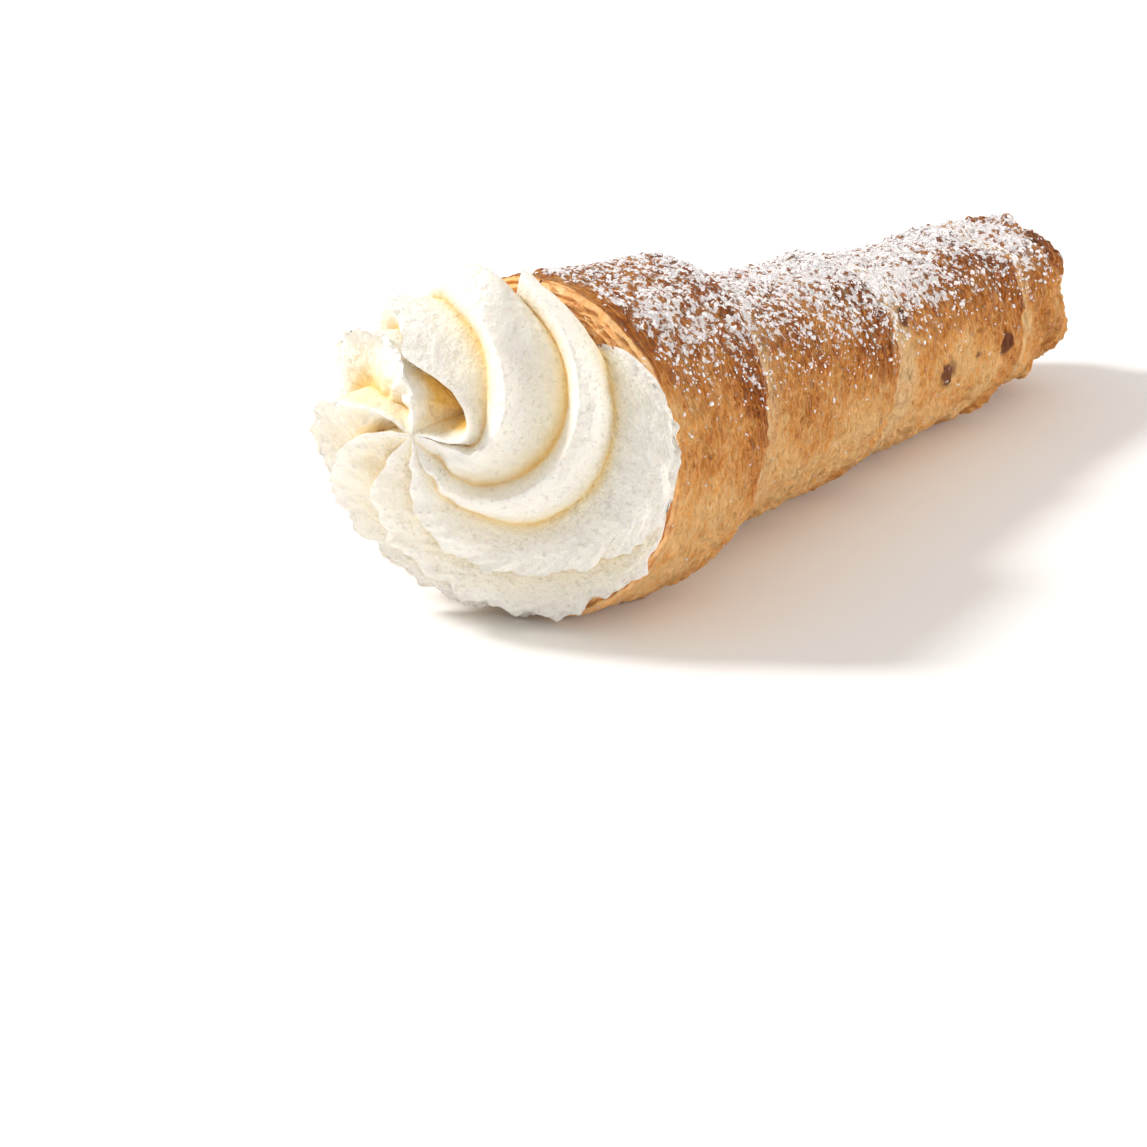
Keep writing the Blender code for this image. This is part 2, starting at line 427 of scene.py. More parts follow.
def bore_points(angle, into):
    """Return the bore's points, closed at its inner end."""
    x = blend(1.0, BORE_END, into)
    narrowing = np.sqrt(np.clip((1.0 - into) * 8.0, 0.0, 1.0))
    return on_section(x, (bore_radius(x) + BORE_COVER) * narrowing, angle)


def browning_and_step_shade(x, angle, rough, past_edge, before_edge, valley):
    """Return how brown the crust is, most on top and toward the strip's edge and least in valleys,
    plus painted shade along the step at each edge.
    """
    top_side = smooth(0.45 + 0.62 * np.cos(angle + 0.20))
    near_edge = bump_at(before_edge, 3.0, 5.5) * (0.60 + 0.40 * top_side)
    brown = 0.04 + 0.50 * top_side + 0.30 * near_edge
    brown += 0.22 * noise_at(rough, 9.0, 11) - 0.35 * valley
    # Painted shade: a dark line along the step where each strip edge drops to the next turn
    brown += 0.40 * bump_at(past_edge, 0.1, 0.8) * (past_edge > -1.0)
    return brown + 0.10 * smooth((x - 100.0) / 30.0)


def sugaring(x, angle, rough):
    """Return how thickly the icing sugar fell: most on top, least at the tip's end."""
    sugar = smooth(0.25 + 0.80 * np.cos(angle + 0.35)) * (0.85 + 0.5 * noise_at(rough, 14.0, 13))
    sugar = sugar * blend(1.0, 1.35, smooth((x - 35.0) / 45.0))
    sugar = sugar * blend(1.0, 0.2, smooth((x - 124.0) / 12.0))
    return sugar * smooth((x - 1.5) / 5.0)


def scorching(x, angle, rough):
    """Return how burnt the crust is, in a few spots with uneven outlines."""
    uneven = 0.9 + 0.6 * noise_at(rough, 1.8, 17)
    scorch = np.zeros_like(x)
    for spot_x, spot_angle, long, wide in SCORCHES:
        turned = (angle - math.radians(spot_angle) + np.pi) % (2 * np.pi) - np.pi
        sideways = np.degrees(np.abs(turned))
        spot = np.exp(-((x - spot_x) / wide) ** 2 - (sideways / long) ** 2)
        scorch = np.maximum(scorch, spot * uneven)
    return scorch


def build_crust():
    """Model the horn's crust: the wound strip outside, the layered rim, the bore inside."""
    rings = CRUST_OUTER_RINGS + CRUST_RIM_RINGS + CRUST_BORE_RINGS
    crust, around, along = grid_sheet("horn_crust", CRUST_AROUND, rings)
    angle = around * 2.0 * np.pi
    ring = along * rings
    outer = ring <= CRUST_OUTER_RINGS
    bore = ring >= CRUST_OUTER_RINGS + CRUST_RIM_RINGS
    on_rim = (~outer) & (~bore)

    # The outer face: the wound strip, puffed, with knobs toward the tip
    to_rim = np.clip(ring / CRUST_OUTER_RINGS, 0.0, 1.0)
    rim_edge = RIM_EDGE + 0.5 * wander(np.degrees(angle), 4.0)
    x = np.maximum(HORN_LENGTH * (1.0 - to_rim ** 0.94), rim_edge)
    height, past_edge, before_edge, turn = crust_profile(x, angle)
    surface = FORM_RADIUS - FORM_TAPER * x + height
    rough = on_section(x, surface, angle)
    puff = noise_at(rough, 11.0, 1) * 0.45 + noise_at(rough, 5.0, 2) * 0.35
    knobs = noise_at(rough, 3.2, 3) * smooth((x - 60.0) / 60.0) * 0.60
    knobs += noise_at(rough, 6.0, 4) * smooth((x - 98.0) / 25.0) * 2.6
    valley = bump_at(past_edge, 3.2, 2.8) * smooth(past_edge / 1.2)
    layers = 0.16 * np.sin(past_edge * 5.2 + 2.0 * wander(turn + np.degrees(angle), 2.0)) * valley
    radius = (surface + puff + knobs + layers) * tip_factor(x)
    x_tip = x - (1.4 + 2.6 * noise_at(rough, 5.5, 5)) * smooth((x - TIP_START) / 14.0)
    points = on_section(x_tip, np.maximum(radius, POLE_RADIUS), angle)

    # The rim and the bore
    part = np.clip((ring - CRUST_OUTER_RINGS) / CRUST_RIM_RINGS, 0.0, 1.0)
    rim, ragged = rim_points(angle, part, surface + puff, rim_edge)
    points[on_rim] = rim[on_rim]
    into = (ring - CRUST_OUTER_RINGS - CRUST_RIM_RINGS) / CRUST_BORE_RINGS
    points[bore] = bore_points(angle, np.clip(into, 0.0, 1.0))[bore]
    move_vertices(crust, placed(points))

    # Masks for the material and the modifiers
    # The browning mask holds the crust's own browning and the painted step shade
    brown = browning_and_step_shade(x, angle, rough, past_edge, before_edge, valley)
    brown = np.where(outer, brown, 0.16 + 0.12 * ragged)
    set_mask(crust, "browning_and_step_shade", np.maximum(brown, 0.02))
    layered = valley * blend(1.0, 0.75, smooth((x - 85.0) / 20.0))
    first_valley = (turn < 100.0) * (past_edge > 0)
    layered = layered + 0.85 * bump_at(past_edge, 3.5, 4.5) * first_valley
    set_mask(crust, "layering", np.where(outer, layered, 0.8 * on_rim))
    sugar = sugaring(x, angle, rough) * outer
    set_mask(crust, "sugaring", sugar)
    drifts = 0.55 + 1.2 * noise_at(rough, 2.6, 14) + 0.5 * noise_at(rough, 1.3, 15)
    set_mask(crust, "strewing", sugar ** 1.5 * np.clip(drifts, 0.0, 1.0))
    set_mask(crust, "crust_face", outer * smooth((x - 1.0) / 3.0) * smooth(tip_factor(x) * 1.5))
    set_mask(crust, "scorching", scorching(x, angle, rough) * outer)
    strip_uv(crust, x, angle, turn)
    close_seams(crust)
    return crust


def strip_uv(crust, x, angle, turn):
    """Lay a UV map along the strip: u runs with the winding, v across it, in centimetres."""
    mesh = crust.data
    corners = np.empty(len(mesh.loops), dtype=int)
    mesh.loops.foreach_get("vertex_index", corners)
    face_turn = turn[corners].reshape(-1, 4)[:, 0]
    face_wound = np.floor((face_turn + 270.0) / 360.0) * 360.0
    corner_turn = first_turn(angle)[corners] + np.repeat(face_wound, 4)
    edge_x, _, _ = winding(corner_turn)
    reach = np.radians(corner_turn) * STRIP_REACH
    uv = np.stack((reach, (x[corners] - edge_x) * 0.1), axis=1)
    layer = mesh.uv_layers[0]
    layer.name = "strip"
    layer.data.foreach_set("uv", uv.ravel())


def finish_crust(crust):
    """Add the crust's ridges along the strip and its blisters."""
    mesh = crust.data
    stretched = mesh.uv_layers.new(name="fibres")
    uv = np.empty(len(mesh.loops) * 2)
    mesh.uv_layers["strip"].data.foreach_get("uv", uv)
    uv = uv.reshape(-1, 2) * RIDGE_SCALE
    stretched.data.foreach_set("uv", uv.ravel())
    relief(crust, "fibre_ridges", size=0.16, strength=0.00075, weight="crust_face", uv="fibres")
    relief(crust, "blisters", size=0.0015, strength=0.0014, weight="crust_face")
    apply_modifiers(crust)
    lift_to_floor(crust, 0.0)
    only(crust)
    bpy.ops.object.shade_smooth()


# ---------------------------------------------------------------- sugar and leaves

def scatter_group(name, grain, density, low, high, seed):
    """Build the nodes that strew a grain over a surface, thickest where it is sugared."""
    tree = bpy.data.node_groups.new(name, "GeometryNodeTree")
    tree.interface.new_socket(name="Geometry", in_out="INPUT", socket_type="NodeSocketGeometry")
    tree.interface.new_socket(name="Geometry", in_out="OUTPUT", socket_type="NodeSocketGeometry")
    surface = tree.nodes.new("NodeGroupInput").outputs["Geometry"]
    fallen = tree.nodes.new("GeometryNodeInputNamedAttribute")
    fallen.data_type = "FLOAT"
    fallen.inputs["Name"].default_value = "strewing"
    points = tree.nodes.new("GeometryNodeDistributePointsOnFaces")
    tree.links.new(surface, points.inputs["Mesh"])
    tree.links.new(math_node(tree, "MULTIPLY", fallen.outputs["Attribute"], density),
                   points.inputs["Density"])
    points.inputs["Seed"].default_value = seed
    source = tree.nodes.new("GeometryNodeObjectInfo")
    source.inputs["Object"].default_value = grain
    sizes = tree.nodes.new("FunctionNodeRandomValue")
    sizes.data_type = "FLOAT_VECTOR"
    sizes.inputs["Min"].default_value = (low, low, low * 0.6)
    sizes.inputs["Max"].default_value = (high, high, high * 0.7)
    sizes.inputs["Seed"].default_value = seed + 1
    spin = tree.nodes.new("FunctionNodeRandomValue")
    spin.data_type = "FLOAT_VECTOR"
    spin.inputs["Min"].default_value = (-0.4, -0.4, 0.0)
    spin.inputs["Max"].default_value = (0.4, 0.4, 2.0 * math.pi)
    spin.inputs["Seed"].default_value = seed + 2
    turned = tree.nodes.new("FunctionNodeRotateRotation")
    turned.rotation_space = "LOCAL"
    tree.links.new(points.outputs["Rotation"], turned.inputs["Rotation"])
    tree.links.new(spin.outputs["Value"], turned.inputs["Rotate By"])
    strewn = tree.nodes.new("GeometryNodeInstanceOnPoints")
    tree.links.new(points.outputs["Points"], strewn.inputs["Points"])
    tree.links.new(source.outputs["Geometry"], strewn.inputs["Instance"])
    tree.links.new(turned.outputs["Rotation"], strewn.inputs["Rotation"])
    tree.links.new(sizes.outputs["Value"], strewn.inputs["Scale"])
    real = tree.nodes.new("GeometryNodeRealizeInstances")
    tree.links.new(strewn.outputs["Instances"], real.inputs["Geometry"])
    tree.links.new(real.outputs["Geometry"], tree.nodes.new("NodeGroupOutput").inputs["Geometry"])
    return tree


def build_sugar(crust, name, strewing):
    """Model one lump of sugar and strew it over the crust, as one mesh."""
    density, low, high, seed = strewing
    bpy.ops.object.select_all(action="DESELECT")
    bpy.ops.mesh.primitive_ico_sphere_add(subdivisions=1, radius=1.0)
    grain = bpy.context.object
    bpy.ops.object.mode_set(mode="EDIT")
    bpy.ops.mesh.select_all(action="SELECT")
    bpy.ops.transform.vertex_random(offset=0.35, seed=seed)
    bpy.ops.object.mode_set(mode="OBJECT")

    only(crust)
    bpy.ops.object.duplicate()
    sugar = bpy.context.object
    sugar.name = name
    sugar.data.name = name
    sugar.vertex_groups.clear()
    modifier = sugar.modifiers.new(name, "NODES")
    modifier.node_group = scatter_group(name, grain, density, low * MM, high * MM, seed)
    apply_modifiers(sugar)
    bpy.data.objects.remove(grain)
    only(sugar)
    bpy.ops.object.shade_smooth()
    return sugar


def leaf(name, x, top_angle, radius, long, wide, tilt, curl, seed):
    """Model one thin leaf of dough that follows the horn round and lifts at its edge."""
    sheet, across, along = grid_sheet(name, 6, 16)
    draw = random.Random(seed)
    taper = np.sin(np.pi * np.clip(along, 0.04, 0.96)) ** 0.45
    side = (across - 0.5) * wide * taper
    side += 0.22 * wide * np.sin(along * draw.uniform(9.0, 15.0) + draw.uniform(0.0, 6.0)) * across
    reach = (along - 0.5) * long
    angle = math.radians(top_angle) + reach / radius
    lift = curl * across ** 2 + 0.25 * curl * np.sin(along * draw.uniform(4.0, 8.0) + seed)
    out = radius + side * math.sin(tilt) + lift * math.cos(tilt)
    points = on_section(x - side * math.cos(tilt) + lift * math.sin(tilt), out, angle)
    move_vertices(sheet, placed(points))
    return sheet


def build_rim_leaves():
    """Model the thin baked leaves that stand between the crust and the cream."""
    draw = random.Random(RIM_LEAF_SEED)
    leaves = []
    for number in range(RIM_LEAVES):
        top_angle = draw.uniform(*LEAF_ARC)
        layer = draw.uniform(0.0, 1.0)
        radius = blend(LEAF_INNER_RADIUS, FORM_RADIUS + 3.2 - 0.8 * abs(top_angle) / 90.0, layer)
        leaves.append(leaf(
            "leaf", blend(-0.3, 1.2, layer), top_angle, radius, draw.uniform(5.0, 11.0),
            draw.uniform(1.5, 2.8), draw.uniform(-0.25, 0.35), draw.uniform(-0.3, 0.9), number))
    bpy.ops.object.select_all(action="DESELECT")
    for one in leaves:
        one.select_set(True)
    bpy.context.view_layer.objects.active = leaves[0]
    bpy.ops.object.join()
    rim = bpy.context.object
    rim.name = "rim_leaves"
    rim.data.name = "rim_leaves"
    thick = rim.modifiers.new("leaf_thickness", "SOLIDIFY")
    thick.thickness = LEAF_THICKNESS * MM
    thick.offset = 0.0
    relief(rim, "leaf_crinkles", size=0.0018, strength=0.0007)
    apply_modifiers(rim)
    only(rim)
    bpy.ops.object.shade_smooth()
    return rim


# ---------------------------------------------------------------- cream

def swirl_outline(f):
    """Return the crest radius and the height of the swirl, from foot (0) to peak (1)."""
    above = np.clip((f - WIDEST_AT) / (1.0 - WIDEST_AT), 0.0, 1.0)
    dome = np.clip(np.cos(np.pi / 2 * above), 0.0, 1.0) ** DOME_FULLNESS
    foot = blend(FOOT_WIDTH, 1.0, smooth(f / WIDEST_AT))
    radius = SWIRL_RADIUS * np.where(f > WIDEST_AT, dome, foot)
    radius = np.where(f < 1.0, np.maximum(radius, PEAK_RADIUS), 0.0)
    return radius, blend(2.0 * GAP, SWIRL_HEIGHT, f)


def lay_arms(f, arm_place):
    """Return each point's arm, the next arm, the part of the way to it and both crests' angles."""
    starts = np.array([through(ARM_HEIGHTS, arm[0], f) for arm in ARMS])
    which = np.arange(len(f))
    this = np.floor(arm_place).astype(int) % len(ARMS)
    after = (this + 1) % len(ARMS)
    start = starts[this, which]
    next_start = starts[after, which]
    next_start = np.where(next_start > start, next_start - 360.0, next_start)
    return this, after, arm_place - np.floor(arm_place), start, next_start


def tearing(f, arm_place, on_crest, crest, torn):
    """Return how far the surface sinks where crests are torn, faces streaked, the top pinched."""
    tears = 1.2 * noise_at(on_crest, 3.2, 22) + 1.4 * noise_at(on_crest, 1.7, 23)
    tears += 0.8 * noise_at(on_crest, 1.05, 27) * crest
    lumps = noise_at(on_crest, 4.2, 25) * np.clip(torn, 0.0, 1.2) ** 2
    streaks = noise_at(np.stack((arm_place * 9.0, f * 1.6, f * 0.0), axis=1), 1.0, 24)
    pinched = smooth((f - 0.84) / 0.08) * smooth((0.99 - f) / 0.02)
    sunk = torn * crest * (tears + 0.25) + 0.16 * streaks * (1.0 - crest)
    return sunk + 0.5 * lumps + pinched * noise_at(on_crest, 2.2, 26)


def painted_groove_shade(f, this, before_groove, groove_at, from_crest, to_groove, sunk):
    """Return the painted shade on the cream: a yellowish tint deep in the grooves, in the fold and
    under the torn lips, where shade falls.
    """
    spread = np.where(before_groove | (this == TOP_ARM), 2.3, 2.0)
    petal = (this >= PETALS[0]) & (this <= PETALS[1])
    spread = np.where((~before_groove) & petal, 1.15, spread)
    # Painted shade: yellowish toward the bottom of each groove, more where the groove is deeper
    deep = to_groove ** spread * (0.55 + 0.45 * np.clip(sunk / 5.0, 0.0, 1.0))
    # Painted shade in the deep fold beside the peak
    fold = 1.15 * (this == HOLLOW_ARM) * bump_at(f, 0.92, 0.085) * smooth(to_groove * 2.2)
    # Painted shadow under the torn lips of the broad arms
    under_lip = 0.58 * before_groove * (groove_at < 0.35) * smooth(from_crest * 2.0)
    return np.maximum(np.maximum(deep, fold), under_lip)


def swirl_surface(f, arm_place):
    """Return the swirl's points, how near a crest they are, how much groove shade is painted and
    how torn.

    f runs from the foot to the peak; arm_place counts arms clockwise, with fractions.
    """
    this, after, part, start, next_start = lay_arms(f, arm_place)
    arms = np.array([np.hstack(arm[1:]) for arm in ARMS])
    shape = arms[this].T
    foot_depth, arm_depth, peak_depth, lean, torn = shape[6:]

    # The section of an arm: from its crest down to the groove and up to the next crest
    groove_at, before, past = blend(shape[0:6:2], shape[1:6:2], smooth((f - 0.3) / 0.4))
    before_groove = part < groove_at
    from_crest = np.where(before_groove, part / groove_at, (1.0 - part) / (1.0 - groove_at))
    from_crest = np.clip(from_crest, 0.0, 1.0)
    eased = np.hypot(from_crest, CREST_EASE) - CREST_EASE
    to_groove = eased ** np.where(before_groove, before, past)
    depth = blend(foot_depth, arm_depth, smooth(f / 0.38))
    depth = blend(depth, peak_depth, smooth((f - 0.72) / 0.25))

    crest_radius, height = swirl_outline(f)
    turned = blend(start, next_start, part) - SWIRL_TURN * f
    turned -= lean * (1.0 - to_groove) ** 2 * smooth(f / 0.1)
    across = np.radians(turned)
    side, up = np.cos(across), np.sin(across)

    crest = np.exp(-np.where(before_groove, part, 1.0 - part) / CREST_WIDTH)
    torn = np.where(before_groove, torn, arms[after][:, -1])
    torn = torn * blend(1.0, 0.5, smooth((f - 0.6) / 0.3))
    on_crest = np.stack((height, crest_radius * side, crest_radius * up), axis=1)
    sunk = depth * to_groove + tearing(f, arm_place, on_crest, crest, torn)
    sunk = blend(sunk, PEAK_DEPTH, smooth((f - 0.97) / 0.03))

    # Sink the surface square to the outline, whose slope comes from a point just below
    near_radius, near_height = swirl_outline(np.maximum(f - 0.004, 0.0))
    rise = height - near_height + 0.0001
    fall = np.maximum(near_radius - crest_radius, 0.0)
    slant = np.hypot(rise, fall)
    radius = np.maximum(crest_radius - sunk * rise / slant, 0.0) * (f < 1.0)
    height = height - sunk * fall / slant

    curl = smooth((f - 0.86) / 0.14)
    y = PEAK_DRIFT[0] * f - radius * side + PEAK_CURL[0] * curl
    z = blend(BASE_LIFT, PEAK_DRIFT[1], f) + SWIRL_SQUASH * radius * up + PEAK_CURL[1] * curl
    x = -height * (1.0 + SWIRL_LEAN * y)
    groove_shade = painted_groove_shade(f, this, before_groove, groove_at, from_crest, to_groove, sunk)
    return np.stack((x, y, z), axis=1), crest, groove_shade, torn


def build_cream():
    """Model the cream: the core in the bore, the foot over the rim and the piped arms."""
    rings = CORE_RINGS + FRINGE_RINGS + SWIRL_RINGS
    cream, around, along = grid_sheet("cream_swirl", ARM_SIDES * len(ARMS), rings)
    ring = along * rings
    arm_place = around * len(ARMS)
    f = np.clip((ring - CORE_RINGS - FRINGE_RINGS) / SWIRL_RINGS, 0.0, 1.0)
    swirl, crest, groove_shade, torn = swirl_surface(f, arm_place)

    # The core and the foot's flat back follow the same lines round
    foot_angle = np.arctan2(-swirl[:, 1], swirl[:, 2] - BASE_LIFT)
    into = np.clip(ring / CORE_RINGS, 0.0, 1.0)
    core_x = blend(BORE_END - 1.0, -GAP, into)
    narrowing = np.sqrt(np.clip(into * 10.0, 0.0, 1.0))
    core = on_section(core_x, (bore_radius(core_x) - GAP) * narrowing, foot_angle)
    out = smooth(np.clip((ring - CORE_RINGS) / FRINGE_RINGS, 0.0, 1.0))[:, None]
    neck = on_section(np.full_like(f, -GAP), np.full_like(f, BORE_RADIUS - GAP), foot_angle)
    foot = blend(neck, swirl, out)
    points = np.where((ring < CORE_RINGS)[:, None], core, foot)
    points = np.where((f > 0)[:, None], swirl, points)

    # Soft lumps, pushed outward from the middle of the swirl
    soft = noise_at(points, 7.0, 21)[:, None] * 0.5
    outward = points - np.array((6.0, PEAK_DRIFT[0] * 0.4, BASE_LIFT))
    outward /= np.linalg.norm(outward, axis=1)[:, None]
    shown = smooth(f / 0.05)[:, None]
    points = points + outward * soft * shown
    move_vertices(cream, placed(points))

    shown = shown[:, 0]
    # The groove mask holds the painted shade for the material
    set_mask(cream, "groove", groove_shade * shown)
    set_mask(cream, "shown", shown)
    rough = 0.55 - 0.35 * crest + 0.45 * bump_at(f, 0.03, 0.08)
    set_mask(cream, "ragged", rough * np.minimum(torn, 1.0) ** 1.5 * shown)
    close_seams(cream)
    return cream


def finish_cream(cream):
    """Calm the mesh, roughen the torn edges and give the cream its whipped grain."""
    calm = cream.modifiers.new("calmer_edges", "SMOOTH")
    calm.factor = 0.5
    calm.iterations = 1
    relief(cream, "torn_grain", size=0.0011, strength=0.0016, weight="ragged")
    relief(cream, "whipped_grain", size=0.0013, strength=0.00026, weight="shown")
    apply_modifiers(cream)
    lift_to_floor(cream, CREAM_CLEARANCE)
    only(cream)
    bpy.ops.object.shade_smooth_by_angle(angle=CRISP_EDGE)


# ---------------------------------------------------------------- materials

def new_material(name):
    """Make an empty node material and return it with its tree and shader."""
    made = bpy.data.materials.new(name)
    made.use_nodes = True
    return made, made.node_tree, made.node_tree.nodes["Principled BSDF"]


def noise_node(tree, vector, scale, detail=4.0, roughness=0.55):
    """Add a noise texture."""
    node = tree.nodes.new("ShaderNodeTexNoise")
    node.inputs["Scale"].default_value = scale
    node.inputs["Detail"].default_value = detail
    node.inputs["Roughness"].default_value = roughness
    tree.links.new(vector, node.inputs["Vector"])
    return node.outputs["Fac"]


def map_node(tree, value, low, high, to_low, to_high):
    """Add a clamped linear map of a value."""
    node = tree.nodes.new("ShaderNodeMapRange")
    tree.links.new(value, node.inputs["Value"])
    limits = {"From Min": low, "From Max": high, "To Min": to_low, "To Max": to_high}
    for name, number in limits.items():
        node.inputs[name].default_value = number
    return node.outputs["Result"]


def math_node(tree, operation, first, second):
    """Add a math node; each side is a socket or a number."""
    node = tree.nodes.new("ShaderNodeMath")
    node.operation = operation
    for socket, value in zip(node.inputs, (first, second)):
        if isinstance(value, (int, float)):
            socket.default_value = value
        else:
            tree.links.new(value, socket)
    return node.outputs["Value"]


def mix_colour(tree, mask, first, second):
    """Mix two colours, sockets or tuples, by a mask."""
    node = tree.nodes.new("ShaderNodeMix")
    node.data_type = "RGBA"
    tree.links.new(mask, node.inputs["Factor"])
    for name, value in (("A", first), ("B", second)):
        socket = [s for s in node.inputs if s.name == name and s.type == "RGBA"][0]
        if isinstance(value, tuple):
            socket.default_value = (*value, 1.0)
        else:
            tree.links.new(value, socket)
    return [s for s in node.outputs if s.type == "RGBA"][0]


def colour_ramp(tree, value, stops):
    """Add a colour ramp through (position, colour) stops."""
    node = tree.nodes.new("ShaderNodeValToRGB")
    tree.links.new(value, node.inputs["Fac"])
    elements = node.color_ramp.elements
    while len(elements) < len(stops):
        elements.new(0.5)
    for element, (position, colour) in zip(elements, stops):
        element.position = position
        element.color = (*colour, 1.0)
    return node.outputs["Color"]


def mask_node(tree, name):
    """Read a mask that was stored on the mesh."""
    node = tree.nodes.new("ShaderNodeAttribute")
    node.attribute_name = name
    return node.outputs["Fac"]


def bump_node(tree, height, strength, distance, normal=None):
    """Add a bump, on top of another normal if one is given."""
    node = tree.nodes.new("ShaderNodeBump")
    node.inputs["Strength"].default_value = strength
    node.inputs["Distance"].default_value = distance
    tree.links.new(height, node.inputs["Height"])
    if normal is not None:
        tree.links.new(normal, node.inputs["Normal"])
    return node.outputs["Normal"]


def grain_group():
    """Build the speckle that the food materials share: noise turned to a mask between limits."""
    tree = bpy.data.node_groups.new("fine_grain", "ShaderNodeTree")
    for name in ("Scale", "Lift", "Low", "High"):
        tree.interface.new_socket(name=name, in_out="INPUT", socket_type="NodeSocketFloat")
    tree.interface.new_socket(name="Mask", in_out="OUTPUT", socket_type="NodeSocketFloat")
    given = tree.nodes.new("NodeGroupInput").outputs
    place = tree.nodes.new("ShaderNodeTexCoord").outputs["Object"]
    noise_texture = tree.nodes.new("ShaderNodeTexNoise")
    noise_texture.inputs["Detail"].default_value = 4.0
    noise_texture.inputs["Roughness"].default_value = 0.6
    tree.links.new(place, noise_texture.inputs["Vector"])
    tree.links.new(given["Scale"], noise_texture.inputs["Scale"])
    lifted = math_node(tree, "ADD", noise_texture.outputs["Fac"], given["Lift"])
    limits = tree.nodes.new("ShaderNodeMapRange")
    tree.links.new(lifted, limits.inputs["Value"])
    tree.links.new(given["Low"], limits.inputs["From Min"])
    tree.links.new(given["High"], limits.inputs["From Max"])
    result = tree.nodes.new("NodeGroupOutput")
    tree.links.new(limits.outputs["Result"], result.inputs["Mask"])
    return tree


def grain_node(tree, scale, low, high, lift=None):
    """Place the shared speckle in a material with its own values."""
    node = tree.nodes.new("ShaderNodeGroup")
    node.node_tree = bpy.data.node_groups.get("fine_grain") or grain_group()
    node.inputs["Scale"].default_value = scale
    node.inputs["Low"].default_value = low
    node.inputs["High"].default_value = high
    if lift is not None:
        tree.links.new(lift, node.inputs["Lift"])
    return node.outputs["Mask"]


def stretch(tree, uv, along, across):
    """Scale a UV map along and across the strip, for a pattern drawn out along it."""
    node = tree.nodes.new("ShaderNodeMapping")
    node.inputs["Scale"].default_value = (along, across, 1.0)
    tree.links.new(uv.outputs["UV"], node.inputs["Vector"])
    return node.outputs["Vector"]


def centred(tree, value, amount):
    """Turn a value round a half into one round nothing, times an amount."""
    return math_node(tree, "MULTIPLY", math_node(tree, "SUBTRACT", value, 0.5), amount)


